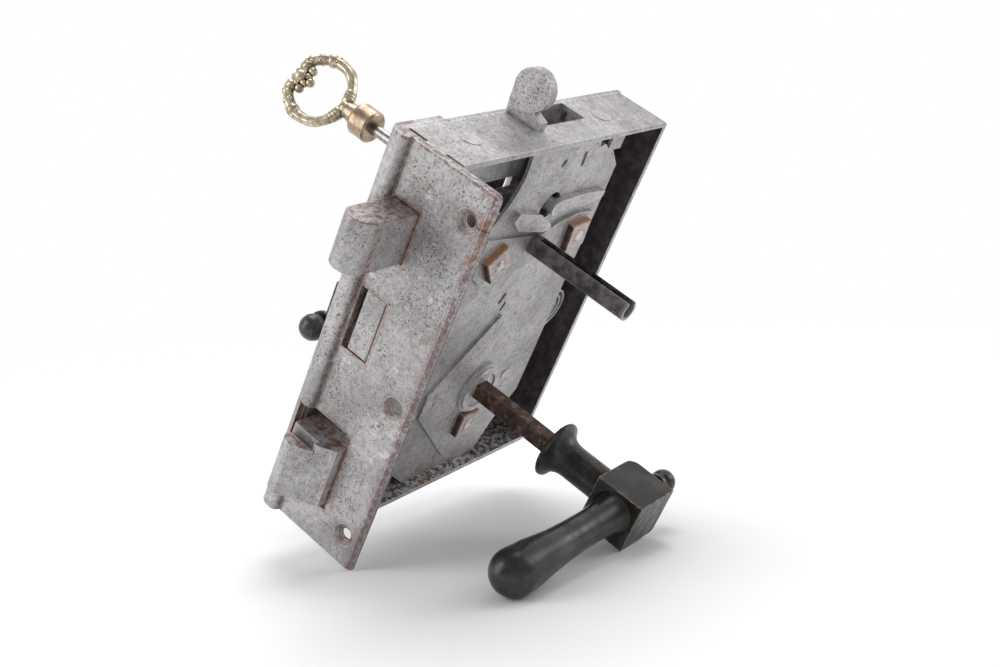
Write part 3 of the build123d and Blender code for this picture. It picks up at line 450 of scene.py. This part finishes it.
def bright_steel(name):
    """Shank polished by use, with faint rings and stains."""
    s = Surface(name, 0.95)
    rings = s.noise(0.5, 3.0, 0.5, stretch=(0.1, 1.0, 0.1))
    color = s.mix(s.ramp(rings, 0.35, 0.65), (0.17, 0.165, 0.16), (0.42, 0.41, 0.40))
    stain = s.ramp(s.noise(5.0, 5.0, 0.6, shift=2.0), 0.56, 0.7)
    color = s.mix(s.times(stain, 0.6), color, (0.16, 0.10, 0.07))
    return s.finish(color, s.scale(rings, 0.18, 0.36), rings, 0.03)


TUBE_PALE_FROM = -69.0
TUBE_PALE_FULL = -71.6


def tube_steel(name):
    """Dark pitted tube, with a rust spot and a paler end."""
    s = Surface(name, 0.6)
    cloud = s.noise(6.0, 7.0, 0.7)
    color = s.mix(s.ramp(cloud, 0.36, 0.64), (0.075, 0.07, 0.07), (0.27, 0.25, 0.245))
    spot = s.times(s.ramp(s.noise(5.0, 6.0, 0.7, shift=5.0), 0.55, 0.63), 0.8)
    color = s.mix(spot, color, (0.15, 0.07, 0.045))
    end = s.ramp(s.axis(1), at(0, TUBE_PALE_FROM, 0)[1], at(0, TUBE_PALE_FULL, 0)[1])
    color = s.mix(s.times(end, 0.7), color, (0.40, 0.38, 0.37))
    grain = s.noise(0.9, 5.0, 0.7, shift=1.0)
    return s.finish(color, s.scale(grain, 0.32, 0.62), grain, 0.22)


# Each handle's block: its centre and its half sizes.
NEAR_BLOCK = ((84.05, -104.4, -122.05), (12.25, 10.8, 10.85))
FAR_BLOCK = ((80.9, 37.6, -122.05), (15.3, 11.0, 10.85))

steel_case = old_steel("case_steel", LIGHT, SHADE)
steel_face = old_steel("faceplate_steel", LIGHT, SHADE, rust=0.7, extra=faceplate_marks)
steel_rim = old_steel("rim_steel", LIGHT, SHADE, rust=0.5, extra=rim_marks)
steel_works = old_steel("works_steel", (0.56, 0.54, 0.545), (0.40, 0.38, 0.385), grime=0.6)
steel_bolt = old_steel("bolt_steel", LIGHT, SHADE, rust=0.8, extra=bolt_marks)
# Painted light: the springs get a paler copy of the steel, so that they look brightly lit.
springs_painted_light = old_steel("spring_steel", (0.72, 0.71, 0.73), (0.50, 0.49, 0.50), metallic=0.6)
stud_steel = rusty_steel("stud_steel", (0.62, 0.60, 0.60), (0.30, 0.26, 0.24), (0.36, 0.30, 0.27), 1.0)
spindle_rust = rusty_steel("spindle_rust", (0.19, 0.145, 0.125), (0.052, 0.036, 0.031),
                           (0.13, 0.066, 0.043), 0.5)
FINISH = {
    "faceplate": steel_face, "front_plate": steel_case, "rim_strap": steel_rim,
    "rim_rivets": steel_works, "corner_lugs": steel_works, "cover_plate": steel_case,
    "hub_cover": steel_case, "boss_ring": steel_works, "hub_cover_rivets": steel_works,
    "pillar_studs": stud_steel, "pillar_sleeves": steel_works, "square_nuts": nut_steel("nut_rust"),
    "key_guide_flange": steel_case, "key_guide_tube": tube_steel("tube_steel"),
    "stop_wedge": steel_works, "bolt_guides": steel_works, "lever_stud": steel_works,
    "keeper_washers": steel_works, "latch_springs": springs_painted_light, "tumbler_spring": springs_painted_light,
    "tumbler_stud": steel_works,
    "deadbolt": steel_bolt, "night_bolt": steel_case, "night_bolt_pin": steel_works,
    "latch_bolt": steel_bolt, "latch_frame": steel_works, "thumb_piece": steel_works,
    "slide_bar": steel_works, "slide_pin": steel_works, "reversing_lever": steel_works,
    "tumbler_arm": steel_works, "follower_hub": steel_works, "spindle": spindle_rust,
    "near_handle": dark_bronze("near_bronze", *NEAR_BLOCK),
    "far_handle": dark_bronze("far_bronze", *FAR_BLOCK),
    "handle_pins": spindle_rust, "key_shank": bright_steel("key_steel"),
    "key_collar": antique_brass("collar_brass", (0.24, 0.16, 0.11), (0.44, 0.35, 0.26),
                                (0.34, 0.19, 0.13), 5.0),
    "key_bow": antique_brass("bow_brass", (0.33, 0.28, 0.20), (0.66, 0.58, 0.42),
                             (0.40, 0.30, 0.24), 3.0),
}
USUAL_EDGE = 0.2
EDGE_WIDTH = {"near_handle": 0.5, "far_handle": 0.5, "faceplate": 0.35, "rim_strap": 0.4,
              "deadbolt": 0.45, "latch_bolt": 0.5, "thumb_piece": 0.45}


def dress(name, node):
    """Gives a CAD node its finish and softened edges."""
    node.data.materials.clear()
    node.data.materials.append(FINISH[name])
    bevel = node.modifiers.new("soft_edges", "BEVEL")
    bevel.width = EDGE_WIDTH.get(name, USUAL_EDGE) * MM
    bevel.segments = 2
    bevel.limit_method = "ANGLE"
    bevel.angle_limit = math.radians(35)
    bevel.harden_normals = True


for name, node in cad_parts.items():
    dress(name, node)


# ---------------------------------------------------------------- ornate bow
KEY_AXIS = (80.0, -49.0)
KEY_LEAN = math.radians(37.0)
# The middle of the bow's wire: places across the bow and along the key.
BOW_PATH = ((0.0, 84.6), (6.6, 86.2), (12.4, 91.4), (14.2, 99.2), (12.2, 106.6), (6.6, 112.6),
            (0.0, 110.2), (-6.6, 112.6), (-12.2, 106.6), (-14.2, 99.2), (-12.4, 91.4),
            (-6.6, 86.2))


def bow_point(across, y, through=0.0):
    """Point of the bow: across it, along the key, and through its thickness."""
    x = across * math.sin(KEY_LEAN) + through * math.cos(KEY_LEAN)
    z = across * math.cos(KEY_LEAN) - through * math.sin(KEY_LEAN)
    return at(KEY_AXIS[0] + x, y, KEY_AXIS[1] + z)


def smooth_loop(points, steps):
    """Closed Catmull-Rom curve through points in the bow's own plane."""
    loop = []
    count = len(points)
    for index in range(count):
        a, b, c, d = (Vector(points[(index + k - 1) % count]) for k in range(4))
        for step in range(steps):
            t = step / steps
            loop.append(0.5 * (2 * b + (c - a) * t + (2 * a - 5 * b + 4 * c - d) * t ** 2
                               + (3 * b - a - 3 * c + d) * t ** 3))
    return loop


BALL_ROWS = 9
BALL_SIDES = 14


class Shell:
    """Mesh that gathers rings of vertices into closed surfaces."""

    def __init__(self):
        self.vertices = []
        self.faces = []

    def skin(self, rings, closed=False):
        """Joins rings of equal size; a closed skin runs from the last ring to the first."""
        first = len(self.vertices)
        sides = len(rings[0])
        for ring in rings:
            self.vertices.extend(ring)
        for row in range(len(rings) if closed else len(rings) - 1):
            low = first + row * sides
            high = first + (row + 1) % len(rings) * sides
            for k in range(sides):
                n = (k + 1) % sides
                self.faces.append((low + k, low + n, high + n, high + k))
        if not closed:
            self.faces.append(tuple(first + k for k in reversed(range(sides))))
            last = first + (len(rings) - 1) * sides
            self.faces.append(tuple(last + k for k in range(sides)))

    def ball(self, across, y, through, radius):
        """Ball at a place of the bow, with a small flat face at either pole."""
        rings = []
        for row in range(1, BALL_ROWS):
            polar = math.pi * row / BALL_ROWS
            ring = []
            for k in range(BALL_SIDES):
                turn = math.tau * k / BALL_SIDES
                ring.append(bow_point(across + radius * math.sin(polar) * math.cos(turn),
                                      y + radius * math.sin(polar) * math.sin(turn),
                                      through + radius * math.cos(polar)))
            rings.append(ring)
        self.skin(rings)

    def piece(self, name):
        """The surfaces as one object of the scene."""
        mesh = bpy.data.meshes.new(name)
        mesh.from_pydata(self.vertices, [], self.faces)
        mesh.validate()
        mesh.shade_smooth()
        thing = bpy.data.objects.new(name, mesh)
        bpy.context.scene.collection.objects.link(thing)
        return thing


BOW_START_Y = 84.6
BOW_LENGTH = 28.0
# Steps of the loop between two points of its path, and sides of the wire.
LOOP_STEPS = 24
WIRE_SIDES = 24
WIRE_RADIUS = 2.25
# How much the wire swells between two points of its path, and how deep its flutes are.
SWELL = 0.10
FLUTE_DEPTH = 0.16
FLUTES = 6
BEAD_STEPS = 12
NECK_SIDES = 20
# The neck's outline: places along the key and the radius there.
NECK = ((81.5, 3.6), (82.6, 3.6), (83.0, 3.1), (83.8, 3.4), (84.6, 3.2), (85.6, 2.0))
FLOWER_Y = 110.6
PETALS = 6


def wire_ring(middle, outward, girth):
    """Fluted cross-section of the bow's wire, square to its path."""
    ring = []
    for k in range(WIRE_SIDES):
        turn = math.tau * k / WIRE_SIDES
        reach = girth + FLUTE_DEPTH * math.cos(FLUTES * turn)
        spot = middle + outward * reach * math.cos(turn)
        ring.append(bow_point(spot.x, spot.y, reach * math.sin(turn)))
    return ring


def beads(shell, middle, outward):
    """One bead outside the wire and two buds inside it."""
    bead = middle + outward * 1.25
    shell.ball(bead.x, bead.y, 0.0, 1.75)
    bud = middle - outward * 0.8
    for lift in (-1.5, 1.5):
        shell.ball(bud.x, bud.y, lift, 1.15)


def flower(shell):
    """A boss with petals on both sides of the bow's far end, and a drop below it."""
    shell.ball(0.0, 105.6, 0.0, 2.1)
    for lift in (-1.3, 1.3):
        shell.ball(0.0, FLOWER_Y, lift, 2.9)
        for petal in range(PETALS):
            turn = math.tau * petal / PETALS
            shell.ball(3.1 * math.cos(turn), FLOWER_Y + 3.1 * math.sin(turn), 0.7 * lift, 1.5)


def neck_rings():
    """Rings of the turned neck between the collar and the bow's legs."""
    rings = []
    for y, radius in NECK:
        rings.append([bow_point(radius * math.cos(math.tau * k / NECK_SIDES), y,
                                radius * math.sin(math.tau * k / NECK_SIDES))
                      for k in range(NECK_SIDES)])
    return rings


def ornate_bow():
    """Cast bow: fluted legs, beads and buds round the upper half, a flower at the far end."""
    shell = Shell()
    loop = smooth_loop(BOW_PATH, LOOP_STEPS)
    rings = []
    for index, middle in enumerate(loop):
        ahead = (loop[(index + 1) % len(loop)] - loop[index - 1]).normalized()
        outward = Vector((ahead.y, -ahead.x))
        girth = WIRE_RADIUS + SWELL * math.cos(index * math.tau / LOOP_STEPS)
        rings.append(wire_ring(middle, outward, girth))
        upper_half = middle.y > BOW_START_Y + 0.5 * BOW_LENGTH
        if upper_half and index % BEAD_STEPS == BEAD_STEPS // 2:
            beads(shell, middle, outward)
    shell.skin(rings, closed=True)
    for way in (-1.0, 1.0):
        shell.ball(way * 13.6, 103.4, 0.0, 3.1)
        shell.ball(way * 4.6, 108.2, 0.0, 2.1)
        shell.ball(way * 5.4, 112.2, 0.0, 2.7)
        for step in range(3):
            shell.ball(way * (3.4 + 1.3 * step), 85.0 + 0.5 * step, 0.0, 2.85 - 0.08 * step)
    flower(shell)
    shell.skin(neck_rings())
    return shell.piece("ornate_bow")


bow = ornate_bow()
bow.data.materials.append(FINISH["key_bow"])
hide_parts("key_bow")
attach(bow, "key")


# ---------------------------------------------------------------- studio
# Corners of the faceplate and of the near handle's block that stand on the floor.
REST_POINTS = (at(1.5, -46.5, -168.0), at(72.0, -115.2, -132.9))
# The round end of the near grip, which lies on the floor as well.
BULB = at(8.0, -104.4, -122.0)
BULB_RADIUS = 9.3 * MM


def floor_normal():
    """Normal of the plane on which the faceplate's corner, the block's corner and the grip lie."""
    along = (REST_POINTS[1] - REST_POINTS[0]).normalized()
    span = BULB - REST_POINTS[0]
    side = (span - along * span.dot(along)).normalized()
    up = along.cross(side)
    if up.z < 0:
        up = -up
    tilt = math.asin(BULB_RADIUS / span.dot(side))
    return (up * math.cos(tilt) + side * math.sin(tilt)).normalized()


FLOOR_HALF = 12.0
FLOOR_GAP = 0.0002
# Distance from the middle, in metres, where the floor starts to fade and where it is gone.
FLOOR_FADES = 0.30
FLOOR_GONE = 0.75


def studio_floor():
    """Pale paper under the object; gives back the direction that is up from it."""
    up = floor_normal()
    mesh = bpy.data.meshes.new("floor")
    corners = [(-FLOOR_HALF, -FLOOR_HALF, 0), (FLOOR_HALF, -FLOOR_HALF, 0),
               (FLOOR_HALF, FLOOR_HALF, 0), (-FLOOR_HALF, FLOOR_HALF, 0)]
    mesh.from_pydata(corners, [], [(0, 1, 2, 3)])
    floor = bpy.data.objects.new("floor", mesh)
    bpy.context.scene.collection.objects.link(floor)
    floor.location = REST_POINTS[0] - up * FLOOR_GAP
    floor.rotation_mode = "QUATERNION"
    floor.rotation_quaternion = up.to_track_quat("Z", "Y")
    s = Surface("floor_paper", 0.0, 0.2)
    tone = s.noise(220.0, 2.0)
    color = s.mix(tone, (0.885, 0.885, 0.905), (0.925, 0.925, 0.94))
    mesh.materials.append(s.finish(color, 0.75))
    show_floor(s)
    return up


def show_floor(s):
    """Shows the floor from above and near the object only, so that it has no far edge."""
    geometry = s.tree.nodes.new("ShaderNodeNewGeometry")
    clear = s.tree.nodes.new("ShaderNodeBsdfTransparent")
    far = 0.0
    for index in (0, 1):
        across = s.axis(index)
        far = s.math("ADD", s.times(across, across), far)
    far = s.ramp(s.math("SQRT", far), FLOOR_FADES, FLOOR_GONE)
    mixer = s.tree.nodes.new("ShaderNodeMixShader")
    s.feed(mixer.inputs["Fac"], s.most(far, geometry.outputs["Backfacing"]))
    s.feed(mixer.inputs[1], s.shader.outputs["BSDF"])
    s.feed(mixer.inputs[2], clear.outputs["BSDF"])
    output = s.tree.nodes["Material Output"]
    s.feed(output.inputs["Surface"], mixer.outputs["Shader"])


def softbox(name, direction, distance, size, power, target):
    """Rectangular light on a direction from the target, and turned to it."""
    light = bpy.data.lights.new(name, "AREA")
    light.shape = "RECTANGLE"
    light.size, light.size_y = size
    light.energy = power
    lamp = bpy.data.objects.new(name, light)
    bpy.context.scene.collection.objects.link(lamp)
    lamp.location = target + direction.normalized() * distance
    lamp.rotation_mode = "QUATERNION"
    lamp.rotation_quaternion = direction.normalized().to_track_quat("Z", "Y")


CAMERA_PLACE = at(-364.0, -252.1, 189.4)
CAMERA_LENS = 50.9
CAMERA_RIGHT = Vector((0.5904, -0.7307, 0.3429))
CAMERA_UP = Vector((0.22284, 0.55585, 0.80086))
CAMERA_FORWARD = Vector((0.77573, 0.39643, -0.49100))


def camera():
    """The camera, placed and turned as in the lock's own coordinates."""
    data = bpy.data.cameras.new("camera")
    data.lens = CAMERA_LENS
    data.sensor_width = 36.0
    data.clip_start = 0.01
    data.clip_end = 20.0
    eye = bpy.data.objects.new("camera", data)
    bpy.context.scene.collection.objects.link(eye)
    turn = Matrix((CAMERA_RIGHT, CAMERA_UP, -CAMERA_FORWARD)).transposed().to_4x4()
    eye.matrix_world = Matrix.Translation(CAMERA_PLACE) @ turn
    bpy.context.scene.camera = eye


# Strength of the white surroundings on the camera's side and behind the object.
DARK_SIDE = 0.45
BRIGHT_SIDE = 1.0


def lights(up):
    """A large light above and a smaller one on either side."""
    middle = at(60.0, -50.0, -85.0)
    left = -CAMERA_RIGHT
    back = (CAMERA_FORWARD - up * CAMERA_FORWARD.dot(up)).normalized()
    softbox("top_light", up * 1.0 + back * 0.35, 1.1, (0.7, 0.7), 6.5, middle)
    softbox("left_light", left * 1.0 + up * 0.35 - back * 0.25, 1.0, (0.5, 0.8), 4.0, middle)
    softbox("right_light", -left * 1.0 + up * 0.6 + back * 0.2, 1.0, (0.4, 0.6), 2.0, middle)


def surroundings():
    """White all round, dimmer on the camera's side than behind the object."""
    world = bpy.data.worlds.new("studio_world")
    world.use_nodes = True
    nodes = world.node_tree.nodes
    links = world.node_tree.links
    direction = nodes.new("ShaderNodeTexCoord")
    facing = nodes.new("ShaderNodeVectorMath")
    facing.operation = "DOT_PRODUCT"
    facing.inputs[1].default_value = CAMERA_FORWARD
    links.new(direction.outputs["Generated"], facing.inputs[0])
    shade = nodes.new("ShaderNodeMapRange")
    shade.interpolation_type = "SMOOTHSTEP"
    shade.inputs["From Min"].default_value = -0.55
    shade.inputs["From Max"].default_value = 0.75
    shade.inputs["To Min"].default_value = DARK_SIDE
    shade.inputs["To Max"].default_value = BRIGHT_SIDE
    links.new(facing.outputs["Value"], shade.inputs["Value"])
    links.new(shade.outputs["Result"], nodes["Background"].inputs["Strength"])
    nodes["Background"].inputs["Color"].default_value = (1.0, 1.0, 1.0, 1.0)
    bpy.context.scene.world = world


floor_up = studio_floor()
camera()
lights(floor_up)
surroundings()
bpy.context.scene.view_settings.view_transform = "Standard"
